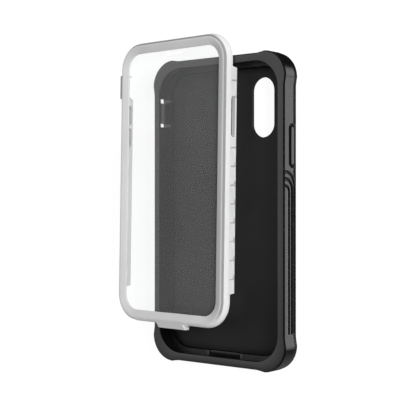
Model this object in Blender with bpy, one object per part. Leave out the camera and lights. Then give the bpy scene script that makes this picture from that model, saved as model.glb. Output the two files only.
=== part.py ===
"""Full-body case for a slab phone: a pale front frame with a clear film, taken off and laid askew on the
rim of a black rear shell that lies on its back. Origin: middle of the shell's back face. +X is to the
right and +Y towards the top of the phone, both seen from the screen side. +Z points out of the screen."""

import math

import bmesh
import bpy
from mathutils import Matrix, Vector

MM = 0.001

# Phone that the case is made for
PHONE_WIDTH = 70.9 * MM
PHONE_LENGTH = 143.6 * MM
PHONE_THICKNESS = 7.7 * MM
PHONE_CORNER = 11.5 * MM

# Clearances
PHONE_PLAY = 0.35 * MM
SNAP_PLAY = 0.3 * MM
SEAM = 0.3 * MM
REST_GAP = 0.3 * MM

# Front frame, section across its rails, heights below the front ridge
FRAME_WALL = 1.5 * MM
RIDGE_CHAMFER = 1.0 * MM
RIDGE_WIDTH = 0.8 * MM
BEVEL_WIDTH = 3.4 * MM
BEVEL_DROP = 0.95 * MM
BEVEL_LIP = 0.85 * MM
SHOULDER_DROP = 3.4 * MM
SHOULDER_FLARE = 0.75 * MM
RAIL_DEPTH = 5.0 * MM
SKIRT_DEPTH = 8.3 * MM
SURROUND_DEPTH = 6.8 * MM
SKIRT_HALF_LENGTH = 56.9 * MM
END_RAMP = 0.5 * MM

# Screen film
FILM_THICKNESS = 0.3 * MM
FILM_SEAT = 1.8 * MM
FILM_OVERLAP = 2.1 * MM
EARPIECE_LENGTH = 12.0 * MM
EARPIECE_WIDTH = 1.6 * MM
EARPIECE_INSET = 1.8 * MM

# Mute switch, volume and power controls and the charging port, places along the phone's length
SWITCH_CENTRE = 51.7 * MM
SWITCH_BOSS_LENGTH = 13.2 * MM
PORT_BOSS_LENGTH = 19.6 * MM
SWITCH_REACH = 3.8 * MM
PORT_REACH = 3.2 * MM
BOSS_WALL = 0.9 * MM
VOLUME_CENTRES = (36.4 * MM, 24.2 * MM)
VOLUME_LENGTH = 10.2 * MM
POWER_CENTRE = 31.9 * MM
POWER_LENGTH = 20.5 * MM
CONTROL_SLOT_WIDTH = 3.0 * MM
CONTROL_SLOT_BAR = 1.0 * MM

# Grip steps in the skirts
GRIP_PITCH = 9.6 * MM
GRIP_FIRST = 51.1 * MM
GRIP_COUNT = 11
GRIP_DEPTH = 0.5 * MM
GRIP_RADIUS = 3.6 * MM

# Rear shell
BACK_THICKNESS = 1.8 * MM
RIM_WIDTH = 4.0 * MM
RIM_HEIGHT = 10.7 * MM
SHELL_CORNER = 12.5 * MM
CORNER_BUMP = 0.7 * MM
BUMP_RAMP = 4.0 * MM
RIM_CHAMFER = 0.5 * MM
BACK_CHAMFER = 0.6 * MM
SEAT_HEIGHT = 3.5 * MM
SEAT_PLAY = 0.2 * MM
LIP_HEIGHT = 1.6 * MM
LIP_SLOPE = 0.5 * MM
UNDERCUT = 0.9 * MM
FLANGE_WIDTH = 1.65 * MM
FLANGE_THICKNESS = 0.6 * MM

# Camera opening, seen from the screen side at the top right
CAMERA_LENGTH = 30.0 * MM
CAMERA_WIDTH = 13.5 * MM
CAMERA_FROM_SIDE = 12.5 * MM
CAMERA_FROM_TOP = 20.0 * MM

# Windows in the bumper
PORT_WINDOW_PLAY = 0.6 * MM
SWITCH_WINDOW_PLAY = 1.8 * MM
WINDOW_NOTCH = 2.1 * MM
WINDOW_LOW = 3.0 * MM
WINDOW_SLOT_LOW = 5.0 * MM
WINDOW_SLOT_HIGH = 8.1 * MM
SPEAKER_CENTRE = 22.0 * MM
SPEAKER_LENGTH = 11.0 * MM
SPEAKER_WIDTH = 2.2 * MM

# Button covers and grip grooves on the bumper's sides
COVER_INSET = 0.6 * MM
COVER_WIDTH = 3.2 * MM
COVER_HEIGHT = 3.9 * MM
COVER_RAISE = 0.5 * MM
COVER_GROOVE = 1.1 * MM
GROOVE_DEPTH = 0.35 * MM
GROOVE_WIDTH = 0.7 * MM
GROOVE_COUNT = 3
GROOVE_TOP = 12.2 * MM
GROOVE_BOTTOM = -59.0 * MM
GROOVE_PITCH = 3.4 * MM
GROOVE_ARC = 2.6 * MM
GROOVE_SPACING = 2.6 * MM
GROOVE_SHOULDER = 9.1 * MM

# How the frame lies on the shell
FRAME_SHIFT_X = -27.0 * MM
FRAME_SHIFT_Y = 15.5 * MM

CORNER_STEPS = 10
PAST = 2.0 * MM

# Worked out from the sizes above
FRAME_HALF_W = PHONE_WIDTH / 2 + PHONE_PLAY + FRAME_WALL
FRAME_HALF_L = PHONE_LENGTH / 2 + PHONE_PLAY + FRAME_WALL
FRAME_CORNER = PHONE_CORNER + PHONE_PLAY + FRAME_WALL
RIM_HALF_W = FRAME_HALF_W + SNAP_PLAY
RIM_HALF_L = FRAME_HALF_L + SNAP_PLAY
SHELL_HALF_W = RIM_HALF_W + RIM_WIDTH
SHELL_HALF_L = RIM_HALF_L + RIM_WIDTH
FILM_TOP = FILM_SEAT + SEAM
FRAME_UNDERSIDE = FILM_TOP + FILM_THICKNESS
SEAT_OFFSET = SEAT_PLAY - FRAME_WALL - PHONE_PLAY
FLANGE_OFFSET = SEAT_OFFSET - FLANGE_WIDTH
BEVEL_EDGE = RIDGE_CHAMFER + RIDGE_WIDTH + BEVEL_WIDTH
WINDOW_HIGH = RIM_HEIGHT - LIP_HEIGHT

SIDES = ("right", "top", "left", "bottom")


def clear_scene():
    for obj in list(bpy.data.objects):
        bpy.data.objects.remove(obj, do_unlink=True)


def plastic(name, colour, roughness, alpha=1.0):
    material = bpy.data.materials.new(name)
    material.use_nodes = True
    shader = material.node_tree.nodes["Principled BSDF"]
    shader.inputs["Base Color"].default_value = (*colour, 1.0)
    shader.inputs["Roughness"].default_value = roughness
    shader.inputs["Metallic"].default_value = 0.0
    shader.inputs["Alpha"].default_value = alpha
    material.diffuse_color = (*colour, alpha)
    return material


# Outlines: a station is a side with a fraction of its straight run, or a corner with an angle


def outline_point(station, half_w, half_l, corner):
    kind, index, value = station
    run_w, run_l = half_w - corner, half_l - corner
    if kind == "corner":
        sign_x = 1 if index in (0, 3) else -1
        sign_y = 1 if index in (0, 1) else -1
        angle = math.radians(90 * index + value)
        return (
            sign_x * run_w + corner * math.cos(angle),
            sign_y * run_l + corner * math.sin(angle),
        )
    return (
        (half_w, value * run_l),
        (-value * run_w, half_l),
        (-half_w, -value * run_l),
        (value * run_w, -half_l),
    )[index]


def corner_stations(index):
    return [("corner", index, 90 * step / CORNER_STEPS) for step in range(CORNER_STEPS + 1)]


def ring_of(stations, half_w, half_l, corner):
    return [outline_point(station, half_w, half_l, corner) for station in stations]


def plain_stations():
    return [station for index in range(4) for station in corner_stations(index)]


def mesh_object(name, bm, material=None):
    bmesh.ops.recalc_face_normals(bm, faces=bm.faces)
    mesh = bpy.data.meshes.new(name)
    bm.to_mesh(mesh)
    bm.free()
    obj = bpy.data.objects.new(name, mesh)
    bpy.context.scene.collection.objects.link(obj)
    if material:
        mesh.materials.append(material)
    return obj


def loft_ring(name, sections, material):
    """Closed ring body: one section loop for each station, joined to the next all the way round."""
    bm = bmesh.new()
    rings = [[bm.verts.new(point) for point in section] for section in sections]
    for ring, after in zip(rings, rings[1:] + rings[:1]):
        for j in range(len(ring)):
            k = (j + 1) % len(ring)
            bm.faces.new((ring[j], ring[k], after[k], after[j]))
    return mesh_object(name, bm, material)


def prism(name, outline, low, high, material=None):
    bm = bmesh.new()
    bottom = [bm.verts.new((x, y, low)) for x, y in outline]
    bm.faces.new(bottom)
    sides = bmesh.ops.extrude_face_region(bm, geom=bm.faces[:])
    top = [item for item in sides["geom"] if isinstance(item, bmesh.types.BMVert)]
    bmesh.ops.translate(bm, verts=top, vec=(0, 0, high - low))
    return mesh_object(name, bm, material)


def stadium(length, width, steps=6):
    """Outline along local X with round ends."""
    radius = width / 2
    run = max(length / 2 - radius, 0)
    points = []
    for sign in (1, -1):
        for step in range(steps + 1):
            angle = math.pi * step / steps - math.pi / 2
            points.append((sign * (run + radius * math.cos(angle)), sign * radius * math.sin(angle)))
    return points


def box_outline(length, width):
    return [
        (length / 2, -width / 2),
        (length / 2, width / 2),
        (-length / 2, width / 2),
        (-length / 2, -width / 2),
    ]


def through_side(name, outline, side, along, height, inner, outer):
    """Prism that pierces one side wall: the outline's X runs along the wall, its Y is the height."""
    tool = prism(name, outline, inner, outer)
    run, normal = {
        "right": (Vector((0, 1, 0)), Vector((1, 0, 0))),
        "left": (Vector((0, -1, 0)), Vector((-1, 0, 0))),
        "top": (Vector((-1, 0, 0)), Vector((0, 1, 0))),
        "bottom": (Vector((1, 0, 0)), Vector((0, -1, 0))),
    }[side]
    turn = Matrix((run, Vector((0, 0, 1)), normal)).transposed().to_4x4()
    place = Vector((abs(run.x) * along, abs(run.y) * along, height))
    tool.data.transform(Matrix.Translation(place) @ turn)
    return tool


def change(obj, tool, operation):
    modifier = obj.modifiers.new(tool.name, "BOOLEAN")
    modifier.operation = operation
    modifier.solver = "EXACT"
    modifier.object = tool
    tool.hide_render = True
    tool.display_type = "WIRE"
    tool.parent = obj


# Front frame


def stretches_of(side):
    """Stretches of one side wall in its running direction: start, end, reach outwards, depth."""
    end = FRAME_HALF_L - FRAME_CORNER
    plain = (SHOULDER_FLARE, RAIL_DEPTH)
    deep = (SHOULDER_FLARE, SKIRT_DEPTH)
    skirt = SKIRT_HALF_LENGTH
    if side == "right":
        return [(-end, -skirt, *plain), (-skirt, skirt, *deep), (skirt, end, *plain)]
    if side == "left":
        boss_top = SWITCH_CENTRE + SWITCH_BOSS_LENGTH / 2
        boss_low = SWITCH_CENTRE - SWITCH_BOSS_LENGTH / 2
        return [
            (-end, -boss_top, *plain),
            (-boss_top, -boss_low, SWITCH_REACH, SURROUND_DEPTH),
            (-boss_low, skirt, *deep),
            (skirt, end, *plain),
        ]
    end = FRAME_HALF_W - FRAME_CORNER
    if side == "bottom":
        half = PORT_BOSS_LENGTH / 2
        return [(-end, -half, *plain), (-half, half, PORT_REACH, SURROUND_DEPTH), (half, end, *plain)]
    return [(-end, end, *plain)]


def frame_stations():
    """Every station of the frame's outline, with the wall's reach and depth there."""
    found = []
    for index, side in enumerate(SIDES):
        stretches = stretches_of(side)
        run = stretches[-1][1]
        for start, end, reach, depth in stretches:
            for place, inward in ((start, END_RAMP / 2), (end, -END_RAMP / 2)):
                if abs(place) < run:
                    found.append((("side", index, (place + inward) / run), reach, depth))
        found += [(station, SHOULDER_FLARE, RAIL_DEPTH) for station in corner_stations(index)]
    return found


def frame_section(station, reach, depth):
    profile = (
        (-RIDGE_CHAMFER, 0),
        (0, -RIDGE_CHAMFER),
        (reach, -SHOULDER_DROP),
        (reach, -depth),
        (-FRAME_WALL, -depth),
        (-FRAME_WALL, -FRAME_UNDERSIDE),
        (FILM_OVERLAP - BEVEL_EDGE, -FRAME_UNDERSIDE),
        (FILM_OVERLAP - BEVEL_EDGE, -FILM_SEAT),
        (-BEVEL_EDGE, -BEVEL_DROP - BEVEL_LIP),
        (-BEVEL_EDGE, -BEVEL_DROP),
        (-RIDGE_CHAMFER - RIDGE_WIDTH, 0),
    )
    points = []
    for offset, height in profile:
        x, y = outline_point(
            station, FRAME_HALF_W + offset, FRAME_HALF_L + offset, FRAME_CORNER + offset
        )
        points.append((x, y, height))
    return points


def cut_frame_slots(frame):
    inner = FRAME_HALF_W - FRAME_WALL - PAST
    outer = FRAME_HALF_W + SHOULDER_FLARE + PAST
    height = -SKIRT_DEPTH + CONTROL_SLOT_BAR + CONTROL_SLOT_WIDTH / 2
    slots = [("power_slot", "right", POWER_CENTRE, POWER_LENGTH)]
    for number, centre in enumerate(VOLUME_CENTRES):
        slots.append((f"volume_slot_{number + 1}", "left", centre, VOLUME_LENGTH))
    for name, side, centre, length in slots:
        outline = stadium(length, CONTROL_SLOT_WIDTH)
        change(frame, through_side(name, outline, side, centre, height, inner, outer), "DIFFERENCE")


def cut_boss_tunnels(frame):
    """The surrounds are open to the rear, and keep a front plate and two end walls."""
    top = -SHOULDER_DROP - BOSS_WALL
    low = -SKIRT_DEPTH - PAST
    for name, side, along, length, half, reach in (
        ("switch_tunnel", "left", SWITCH_CENTRE, SWITCH_BOSS_LENGTH, FRAME_HALF_W, SWITCH_REACH),
        ("port_tunnel", "bottom", 0, PORT_BOSS_LENGTH, FRAME_HALF_L, PORT_REACH),
    ):
        outline = box_outline(length - END_RAMP - 2 * BOSS_WALL, top - low)
        inner = half - FRAME_WALL - PAST
        outer = half + reach + PAST
        height = (top + low) / 2
        change(frame, through_side(name, outline, side, along, height, inner, outer), "DIFFERENCE")


def grip_places(side):
    """Grip steps that are clear of the control slots and of the switch surround."""
    taken = [(POWER_CENTRE, POWER_LENGTH)]
    if side == "left":
        taken = [(centre, VOLUME_LENGTH) for centre in VOLUME_CENTRES]
        taken.append((SWITCH_CENTRE, SWITCH_BOSS_LENGTH))
    places = []
    for number in range(GRIP_COUNT):
        place = GRIP_FIRST - number * GRIP_PITCH
        clear = all(abs(place - centre) > length / 2 + GRIP_RADIUS for centre, length in taken)
        if clear and abs(place) + GRIP_RADIUS < SKIRT_HALF_LENGTH:
            places.append(place)
    return places


def cut_grip_steps(frame):
    """Shallow thumbnail steps that open to the skirt's rear edge."""
    wall = FRAME_HALF_W + SHOULDER_FLARE
    for side in ("right", "left"):
        for number, place in enumerate(grip_places(side)):
            name = f"grip_{side}_{number + 1}"
            outline = stadium(2 * GRIP_RADIUS, 2 * GRIP_RADIUS)
            tool = through_side(
                name, outline, side, place, -SKIRT_DEPTH, wall - GRIP_DEPTH, wall + PAST
            )
            change(frame, tool, "DIFFERENCE")


def make_front_frame(material):
    sections = [frame_section(*station) for station in frame_stations()]
    frame = loft_ring("front_frame", sections, material)
    cut_frame_slots(frame)
    cut_boss_tunnels(frame)
    cut_grip_steps(frame)
    return frame


def make_screen_film(material):
    edge = BEVEL_EDGE - FILM_OVERLAP + SEAM
    outline = ring_of(
        plain_stations(), FRAME_HALF_W - edge, FRAME_HALF_L - edge, FRAME_CORNER - edge
    )
    film = prism("screen_film", outline, -FILM_TOP - FILM_THICKNESS, -FILM_TOP, material)
    slot = prism(
        "earpiece_slot",
        stadium(EARPIECE_LENGTH, EARPIECE_WIDTH),
        -FILM_TOP - FILM_THICKNESS - PAST,
        -FILM_TOP + PAST,
    )
    slot.data.transform(Matrix.Translation((0, FRAME_HALF_L - BEVEL_EDGE - EARPIECE_INSET, 0)))
    change(film, slot, "DIFFERENCE")
    return film


# Rear shell


def shell_stations():
    """Corner arcs, with one station on each straight side where a corner bump has died away."""
    found = []
    for index, half in enumerate((SHELL_HALF_L, SHELL_HALF_W, SHELL_HALF_L, SHELL_HALF_W)):
        fraction = 1 - BUMP_RAMP / (half - SHELL_CORNER)
        found += [("side", index, -fraction), ("side", index, fraction)]
        found += corner_stations(index)
    return found


def shell_point(station, inset):
    """Point of the shell's outer skin, with the bump at each corner."""
    bump = CORNER_BUMP if station[0] == "corner" else 0
    return outline_point(
        station,
        SHELL_HALF_W + bump - inset,
        SHELL_HALF_L + bump - inset,
        SHELL_CORNER + bump - inset,
    )


def inner_point(station, offset):
    return outline_point(
        station, FRAME_HALF_W + offset, FRAME_HALF_L + offset, FRAME_CORNER + offset
    )


def bumper_section(station):
    lip, hollow = SNAP_PLAY, SNAP_PLAY + UNDERCUT
    under_lip = RIM_HEIGHT - LIP_HEIGHT
    outer = (
        (RIM_CHAMFER, RIM_HEIGHT),
        (0, RIM_HEIGHT - RIM_CHAMFER),
        (0, BACK_CHAMFER),
        (BACK_CHAMFER, 0),
    )
    inner = (
        (FLANGE_OFFSET, 0),
        (FLANGE_OFFSET, FLANGE_THICKNESS),
        (SEAT_OFFSET, FLANGE_THICKNESS),
        (SEAT_OFFSET, SEAT_HEIGHT),
        (hollow, SEAT_HEIGHT),
        (hollow, under_lip),
        (lip, under_lip + LIP_SLOPE),
        (lip, RIM_HEIGHT),
    )
    points = [(*shell_point(station, inset), height) for inset, height in outer]
    return points + [(*inner_point(station, offset), height) for offset, height in inner]


def cut_windows(bumper):
    """Switch window with taller ends for the surround's end walls, port window and speaker slots."""
    inner = FRAME_HALF_W - FRAME_WALL - PAST
    outer = SHELL_HALF_W + PAST
    length = SWITCH_BOSS_LENGTH + SWITCH_WINDOW_PLAY
    slot_height = WINDOW_SLOT_HIGH - WINDOW_SLOT_LOW
    slot_middle = (WINDOW_SLOT_HIGH + WINDOW_SLOT_LOW) / 2
    slot = box_outline(length - WINDOW_NOTCH, slot_height)
    tool = through_side("switch_window", slot, "left", SWITCH_CENTRE, slot_middle, inner, outer)
    change(bumper, tool, "DIFFERENCE")
    end_height = WINDOW_HIGH - WINDOW_LOW
    end_middle = (WINDOW_HIGH + WINDOW_LOW) / 2
    for number, sign in enumerate((1, -1)):
        along = SWITCH_CENTRE + sign * (length - WINDOW_NOTCH) / 2
        notch = box_outline(WINDOW_NOTCH, end_height)
        name = f"switch_window_end_{number + 1}"
        change(bumper, through_side(name, notch, "left", along, end_middle, inner, outer), "DIFFERENCE")
    inner = FRAME_HALF_L - FRAME_WALL - PAST
    outer = SHELL_HALF_L + PAST
    port = box_outline(PORT_BOSS_LENGTH + PORT_WINDOW_PLAY, end_height)
    change(bumper, through_side("port_window", port, "bottom", 0, end_middle, inner, outer), "DIFFERENCE")
    middle = BACK_THICKNESS + PHONE_THICKNESS / 2
    for number, sign in enumerate((1, -1)):
        outline = stadium(SPEAKER_LENGTH, SPEAKER_WIDTH)
        name = f"speaker_slot_{number + 1}"
        tool = through_side(name, outline, "bottom", sign * SPEAKER_CENTRE, middle, inner, outer)
        change(bumper, tool, "DIFFERENCE")


def covers():
    """Button covers: name, side, place along the side and length."""
    found = [("power_cover", "right", POWER_CENTRE, POWER_LENGTH - 2 * COVER_INSET)]
    for number, centre in enumerate(VOLUME_CENTRES):
        found.append((f"volume_cover_{number + 1}", "left", centre, VOLUME_LENGTH - 2 * COVER_INSET))
    return found


def add_button_covers(bumper):
    """Each cover is a raised pad inside a groove that lets it flex."""
    for name, side, centre, length in covers():
        moat = stadium(length + 2 * COVER_GROOVE, COVER_WIDTH + 2 * COVER_GROOVE)
        floor = SHELL_HALF_W - GROOVE_DEPTH
        tool = through_side(name + "_moat", moat, side, centre, COVER_HEIGHT, floor, SHELL_HALF_W + PAST)
        change(bumper, tool, "DIFFERENCE")
        pad = stadium(length, COVER_WIDTH)
        low, high = floor - GROOVE_DEPTH, SHELL_HALF_W + COVER_RAISE
        change(bumper, through_side(name, pad, side, centre, COVER_HEIGHT, low, high), "UNION")


def groove_path(number):
    """One grip groove: it leaves the rim, arcs over and runs down the side. Points (along, height)."""
    radius = GROOVE_ARC + number * GROOVE_SPACING
    top = GROOVE_TOP + number * GROOVE_PITCH
    points = [(top, RIM_HEIGHT + PAST)]
    for step in range(7):
        angle = math.pi / 2 * step / 6
        points.append(
            (top - radius * (1 - math.cos(angle)), GROOVE_SHOULDER - radius * math.sin(angle))
        )
    points.append((GROOVE_BOTTOM, GROOVE_SHOULDER - radius))
    return points


def strip_outline(path, width):
    """Outline of a strip of even width along an open path."""
    vectors = [Vector(point) for point in path]
    left, right = [], []
    for i, point in enumerate(vectors):
        before = vectors[max(i - 1, 0)]
        after = vectors[min(i + 1, len(vectors) - 1)]
        across = (after - before).normalized().orthogonal() * width / 2
        left.append(tuple(point + across))
        right.append(tuple(point - across))
    return left + right[::-1]


def cut_grip_grooves(bumper):
    for side, sign in (("right", 1), ("left", -1)):
        for number in range(GROOVE_COUNT):
            path = [(sign * along, height) for along, height in groove_path(number)]
            outline = strip_outline(path, GROOVE_WIDTH)
            low, high = SHELL_HALF_W - GROOVE_DEPTH, SHELL_HALF_W + PAST
            tool = through_side(f"groove_{side}_{number + 1}", outline, side, 0, 0, low, high)
            change(bumper, tool, "DIFFERENCE")


def make_bumper(material):
    bumper = loft_ring("bumper", [bumper_section(station) for station in shell_stations()], material)
    cut_windows(bumper)
    cut_grip_grooves(bumper)
    add_button_covers(bumper)
    return bumper


def make_back_plate(material):
    """Stiff panel: its upper edge laps over the bumper's flange."""
    lap = FLANGE_THICKNESS + SEAM
    profile = (
        (FLANGE_OFFSET - SEAM, 0),
        (FLANGE_OFFSET - SEAM, lap),
        (SEAT_OFFSET - SEAM, lap),
        (SEAT_OFFSET - SEAM, BACK_THICKNESS),
    )
    bm = bmesh.new()
    rings = []
    for offset, height in profile:
        ring = [inner_point(station, offset) for station in plain_stations()]
        rings.append([bm.verts.new((x, y, height)) for x, y in ring])
    for low, high in zip(rings, rings[1:]):
        for j in range(len(low)):
            k = (j + 1) % len(low)
            bm.faces.new((low[j], low[k], high[k], high[j]))
    bm.faces.new(rings[0])
    bm.faces.new(rings[-1])
    plate = mesh_object("back_plate", bm, material)
    hole = prism("camera_hole", stadium(CAMERA_LENGTH, CAMERA_WIDTH), -PAST, BACK_THICKNESS + PAST)
    place = (PHONE_WIDTH / 2 - CAMERA_FROM_SIDE, PHONE_LENGTH / 2 - CAMERA_FROM_TOP, 0)
    hole.data.transform(Matrix.Translation(place) @ Matrix.Rotation(math.pi / 2, 4, "Z"))
    change(plate, hole, "DIFFERENCE")
    return plate


# The frame laid on the shell


def resting_matrix():
    """Turns and places the frame so that it bears on three points of the rim: its bottom rail on the left
    wall, its right rail on the top wall and its film on the top left corner."""
    rail = RIM_HEIGHT + REST_GAP + RAIL_DEPTH
    film = RIM_HEIGHT + REST_GAP + FRAME_UNDERSIDE
    reach = SHELL_CORNER + CORNER_BUMP
    on_left_wall = Vector((-SHELL_HALF_W, FRAME_SHIFT_Y - FRAME_HALF_L, rail))
    on_top_wall = Vector((FRAME_SHIFT_X + FRAME_HALF_W - FRAME_WALL, SHELL_HALF_L, rail))
    axis = on_top_wall - on_left_wall
    slant = math.atan2(axis.x, -axis.y)
    on_corner = Vector(
        (
            SHELL_CORNER - SHELL_HALF_W + reach * math.cos(slant),
            SHELL_HALF_L - SHELL_CORNER + reach * math.sin(slant),
            film,
        )
    )
    normal = axis.cross(on_corner - on_left_wall).normalized()
    drop = normal.dot(on_left_wall - Vector((FRAME_SHIFT_X, FRAME_SHIFT_Y, 0)))
    centre = Vector((FRAME_SHIFT_X, FRAME_SHIFT_Y, drop / normal.z))
    across = Vector((0, 1, 0)).cross(normal).normalized()
    along = normal.cross(across)
    turn = Matrix((across, along, normal)).transposed().to_4x4()
    return Matrix.Translation(centre) @ turn


def build():
    clear_scene()
    pale = plastic("pale_frame_plastic", (0.62, 0.62, 0.62), 0.42)
    clear = plastic("clear_film", (0.96, 0.97, 0.97), 0.06, 0.12)
    soft_black = plastic("soft_black_rubber", (0.018, 0.018, 0.019), 0.45)
    hard_black = plastic("hard_black_plastic", (0.03, 0.03, 0.032), 0.5)
    front = bpy.data.objects.new("front_half", None)
    bpy.context.scene.collection.objects.link(front)
    front.matrix_world = resting_matrix()
    for piece in (make_front_frame(pale), make_screen_film(clear)):
        piece.parent = front
    make_bumper(soft_black)
    make_back_plate(hard_black)


build()
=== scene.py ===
"""Looks of a full-body phone case in two halves: a pale front frame with a clear film, taken off and laid
askew on a black rear shell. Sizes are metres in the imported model's frame; the shell's back lies on z = 0."""

import math

import bmesh
import bpy
from mathutils import Matrix, Vector


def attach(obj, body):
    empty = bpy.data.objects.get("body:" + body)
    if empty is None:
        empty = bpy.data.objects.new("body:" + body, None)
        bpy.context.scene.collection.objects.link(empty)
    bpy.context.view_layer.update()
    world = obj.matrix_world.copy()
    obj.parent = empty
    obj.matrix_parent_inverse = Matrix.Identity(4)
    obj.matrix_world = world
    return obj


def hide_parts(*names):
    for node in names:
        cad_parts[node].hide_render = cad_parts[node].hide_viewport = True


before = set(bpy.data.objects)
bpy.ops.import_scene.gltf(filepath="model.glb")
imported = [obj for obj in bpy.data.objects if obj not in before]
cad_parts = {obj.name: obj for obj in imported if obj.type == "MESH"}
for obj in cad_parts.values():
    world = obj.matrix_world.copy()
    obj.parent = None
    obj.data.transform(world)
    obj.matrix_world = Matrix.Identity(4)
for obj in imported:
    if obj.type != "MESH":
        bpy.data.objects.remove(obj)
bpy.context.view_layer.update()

MM = 0.001
SIDES = ("right", "top", "left", "bottom")

# Mesh steps. PAST is how far a cutting tool passes the wall that it opens
CORNER_STEPS = 4
CORNER_POINTS = CORNER_STEPS + 1
FRAME_CORNER_STEPS = 28
SHELL_CORNER_STEPS = 20
ARC_STEPS = 16
SLOPE_ROWS = 7
WALL_ROWS = 12
ROW_GAP = 0.14 * MM
COARSE_STEP = 2.5 * MM
FINE_STEP = 0.1 * MM
LEAST_STEP = 0.02 * MM
PAST = 2.0 * MM

# Front frame, in its own axes: heights are below the ridge
FRAME_HALF_W = 37.3 * MM
FRAME_HALF_L = 73.65 * MM
FRAME_CORNER = 13.35 * MM
FRAME_RUN_W = FRAME_HALF_W - FRAME_CORNER
FRAME_RUN_L = FRAME_HALF_L - FRAME_CORNER
FRAME_WALL = 1.5 * MM
FRAME_UNDERSIDE = 2.4 * MM
FLARE = 0.75 * MM
SWITCH_REACH = 3.8 * MM
PORT_REACH = 3.2 * MM
RAIL_DEPTH = 5.0 * MM
SKIRT_DEPTH = 8.3 * MM
SURROUND_DEPTH = 6.8 * MM
SKIRT_END = 56.9 * MM
STEP_RAMP = 0.5 * MM
BOSS_WALL = 0.9 * MM
SHOULDER_DROP = 3.4 * MM
SWITCH_CENTRE = 51.7 * MM
SWITCH_LENGTH = 13.2 * MM
PORT_LENGTH = 19.6 * MM
POWER_CENTRE = 31.9 * MM
POWER_LENGTH = 20.5 * MM
VOLUME_CENTRES = (36.4 * MM, 24.2 * MM)
VOLUME_LENGTH = 10.2 * MM
SLOT_WIDTH = 3.0 * MM
SLOT_BAR = 1.0 * MM
RIDGE_ROUND = 1.0 * MM
SLOPE_TOP = 1.6 * MM
BEVEL_START = 1.8 * MM
BEVEL_EDGE = 5.2 * MM
BEVEL_DROP = 0.95 * MM
FILM_SEAT_EDGE = 3.1 * MM
FILM_SEAT_DROP = 1.8 * MM
FILM_GAP = 0.3 * MM
FILM_THICKNESS = 0.3 * MM
FILM_TOP = 2.1 * MM
EARPIECE_LENGTH = 12.0 * MM
EARPIECE_WIDTH = 1.6 * MM
EARPIECE_INSET = 1.8 * MM

# Grip steps on the skirts: places of their lips, then their heights and depths
LIP_TOP = 50.2 * MM
LIP_FIRST = 16.6 * MM
LIP_PITCH = 9.4 * MM
GRIP_END = -56.0 * MM
GRIP_FRONT = -3.6 * MM
GRIP_ARCH = 1.5 * MM
GRIP_DEPTH = 0.9 * MM
GRIP_REAR = -7.0 * MM
GRIP_REAR_CUT = 1.2 * MM

# Rear shell
SHELL_HALF_W = 41.6 * MM
SHELL_HALF_L = 77.95 * MM
SHELL_CORNER = 12.5 * MM
SHELL_RUN_W = SHELL_HALF_W - SHELL_CORNER
SHELL_RUN_L = SHELL_HALF_L - SHELL_CORNER
CORNER_BUMP = 0.7 * MM
BUMP_RAMP = 4.0 * MM
RIM_HEIGHT = 10.7 * MM
RIM_CREASE = 0.65 * MM
BACK_LEAN = 0.28 * MM
BACK_ROUND = 2.9 * MM
SNAP_PLAY = 0.3 * MM
UNDERCUT = 0.9 * MM
LIP_LOW = 9.1 * MM
LIP_SLOPE = 0.5 * MM
SEAT_HEIGHT = 3.5 * MM
SEAT_OFFSET = -1.65 * MM
FLANGE_OFFSET = -3.3 * MM
FLANGE_THICKNESS = 0.6 * MM
BACK_THICKNESS = 1.8 * MM
LAP_PLAY = 0.3 * MM
CAMERA_OPENING = (30.0 * MM, 13.5 * MM)
CAMERA_OPENING_PLACE = (22.95 * MM, 51.8 * MM, 0)

# Button covers on the shell, each in a moat
COVER_WIDTH = 3.2 * MM
COVER_HEIGHT = 3.9 * MM
COVER_INSET = 0.6 * MM
COVER_RISE = 0.45 * MM
MOAT_WIDTH = 1.1 * MM
MOAT_SPILL = 0.15 * MM
MOAT_EDGE = 0.5 * MM
MOAT_DEPTH = 1.1 * MM

# Grip grooves on the shell's sides, from the one nearest the rim
GROOVE_RADII = (2.6 * MM, 5.2 * MM, 7.3 * MM)
GROOVE_HALF_WIDTHS = (0.8 * MM, 0.95 * MM, 0.95 * MM)
GROOVE_DEPTH = 0.95 * MM
GROOVE_FLAT = 0.1 * MM
GROOVE_TOP = 12.2 * MM
GROOVE_PITCH = 3.4 * MM
GROOVE_BEND = 9.1 * MM
GROOVE_END = -59.0 * MM
SHOULDER_WIDTH = 0.6 * MM
SHOULDER_DEPTH = 0.018 * MM

# Windows in the shell's sides
WINDOW_LOW = 3.0 * MM
WINDOW_EDGE = 0.25 * MM
SWITCH_PLAY = 1.8 * MM
SWITCH_NOTCH = 2.1 * MM
SWITCH_SLOT_LOW = 5.0 * MM
SWITCH_SLOT_HIGH = 8.1 * MM
PORT_PLAY = 0.6 * MM
SPEAKER_LENGTH = 11.0 * MM
SPEAKER_WIDTH = 2.2 * MM
SPEAKER_PLACE = 22.0 * MM
SPEAKER_HEIGHT = 5.65 * MM

# How the frame lies on the shell
FRAME_SHIFT_X = -27.0 * MM
FRAME_SHIFT_Y = 15.5 * MM
REST_GAP = 0.3 * MM

# Camera: its turn about Y in degrees, and its focal length in pixels of an image this wide
IMAGE_WIDTH = 400
CAMERA_FOCUS = 1026.9
CAMERA_TURN = 38.66
CAMERA_PLACE = (318.2 * MM, 5.1 * MM, 421.2 * MM)
CAMERA_SHIFT = 0.00225
SENSOR_WIDTH = 36.0

# Lamps: name, place, size and power
LAMP_TARGET = (0, 0, 0.01)
LAMPS = (
    ("key_light", (0.87, 0.10, 0.45), (0.4, 0.4), 9.0),
    ("low_fill", (0.05, -0.90, 0.26), (0.5, 0.3), 2.2),
    ("back_fill", (0.0, 0.97, 0.25), (0.5, 0.3), 3.3),
)


# Node graphs


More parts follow.
